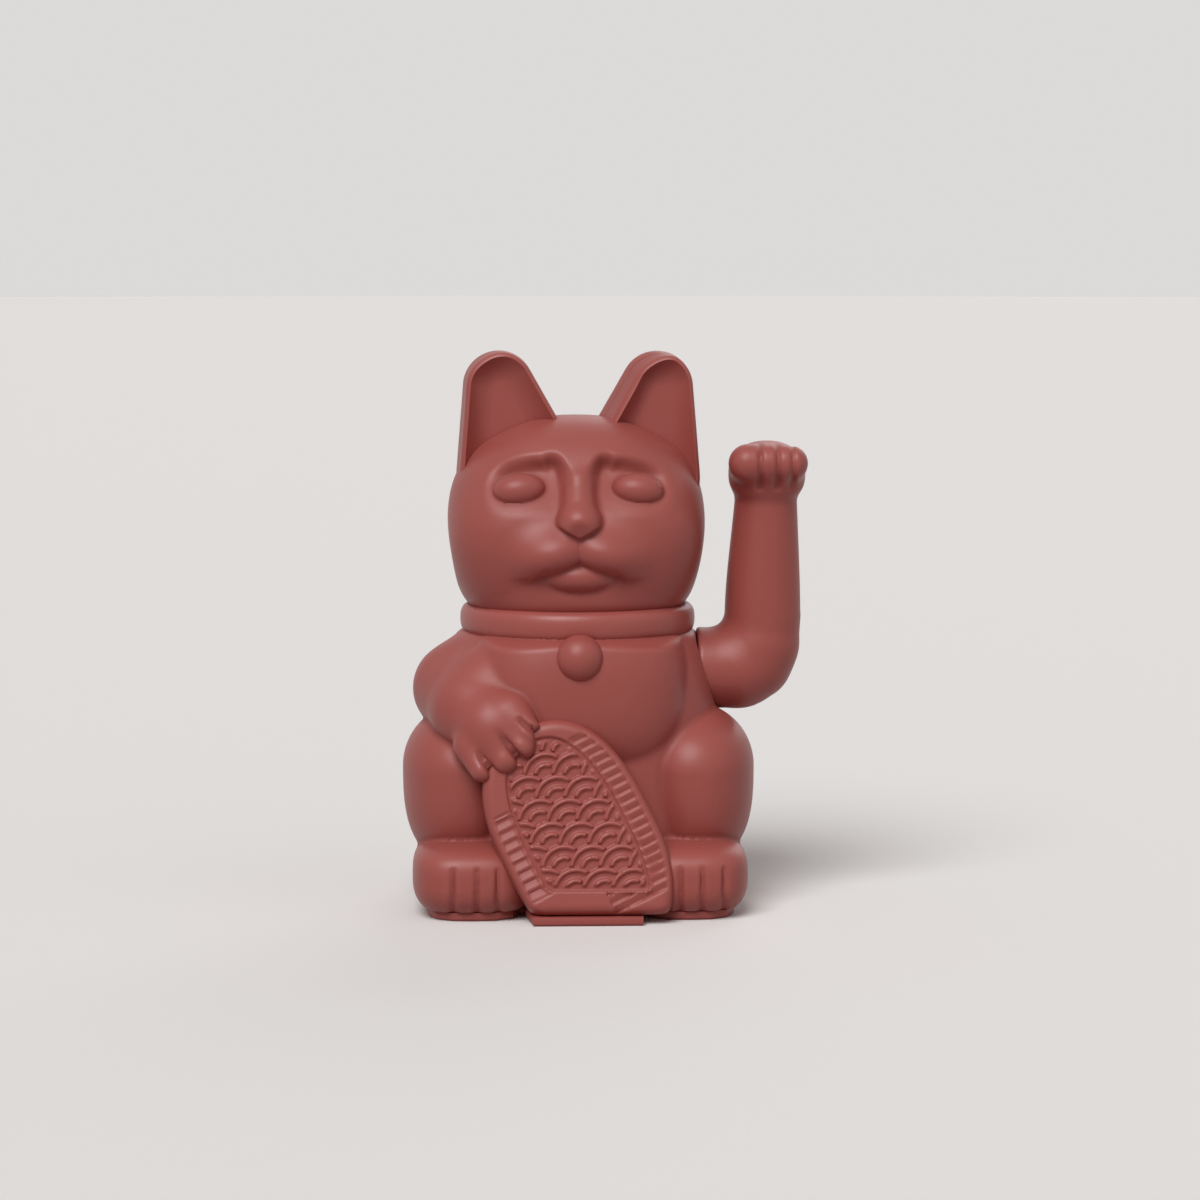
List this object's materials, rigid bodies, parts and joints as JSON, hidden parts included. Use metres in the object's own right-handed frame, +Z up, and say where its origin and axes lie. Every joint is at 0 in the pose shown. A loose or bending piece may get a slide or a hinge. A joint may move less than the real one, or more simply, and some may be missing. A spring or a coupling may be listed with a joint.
{
  "type": "waving lucky cat figure",
  "caption": "Seated lucky cat figure that holds an oval coin, with a separate waving arm driven by a magnet pendulum over a coil, and a base with a battery bay.",
  "frame": {"origin": "on the surface it stands on, under the middle of the body, on the waving arm axle's plane", "axes": "+Z up, -Y the way the cat faces, +X towards the waving arm, along its axle"},
  "size_m": [0.1096, 0.0884, 0.15],
  "materials": {
    "body_rose": "satin moulded, fine grain",
    "steel": "plain steel, screws, axle, contacts and weight",
    "nickel": "nickel plated magnet",
    "cell_jacket": "plain printed jacket without lettering",
    "black_plastic": "black moulded plastic",
    "white_nylon": "off-white nylon",
    "board_green": "green solder mask",
    "copper": "enamelled copper winding",
    "bronze": "sintered bronze",
    "ceramic": "resistor body lacquer",
    "lead_red": "red wire insulation",
    "lead_black": "black wire insulation",
    "lead_white": "white wire insulation"
  },
  "bodies": {
    "figure": {"front_shell": "body_rose", "rear_shell": "body_rose", "base_plate": "body_rose", "base_screw_1": "steel", "base_screw_2": "steel", "base_screw_3": "steel", "base_screw_4": "steel", "battery_cell": "cell_jacket", "contact_plate": "steel", "contact_spring": "steel", "switch_body": "black_plastic", "circuit_board": "board_green", "board_screw_1": "steel", "board_screw_2": "steel", "coil_bobbin": "black_plastic", "drive_coil": "copper", "capacitor": "black_plastic", "transistor": "black_plastic", "resistor": "ceramic", "lead_red": "lead_red", "lead_black": "lead_black", "lead_white": "lead_white", "pivot_frame": "white_nylon", "frame_screw_1": "steel", "frame_screw_2": "steel", "bush_inner": "bronze", "bush_outer": "bronze"},
    "arm": {"arm_front_shell": "body_rose", "arm_rear_shell": "body_rose", "arm_hub": "white_nylon", "pivot_axle": "steel", "axle_clip": "steel", "pendulum_lever": "white_nylon", "drive_magnet": "nickel", "pendulum_weight": "steel"},
    "door": {"battery_door": "body_rose"},
    "slider": {"switch_slider": "black_plastic"}
  },
  "joints": [
    {"name": "arm_swing", "type": "hinge", "parent": "figure", "child": "arm", "pos_m": [0, 0, 0.0635], "axis": [1, 0, 0], "range_deg": [-22, 22]},
    {"name": "battery_door", "type": "hinge", "parent": "figure", "child": "door", "pos_m": [0, 0.01025, 0.0011], "axis": [-1, 0, 0], "range_deg": [0, 80]},
    {"name": "switch_slide", "type": "slide", "parent": "figure", "child": "slider", "axis": [1, 0, 0], "range_m": [-0.0012, 0.0012]}
  ]
}
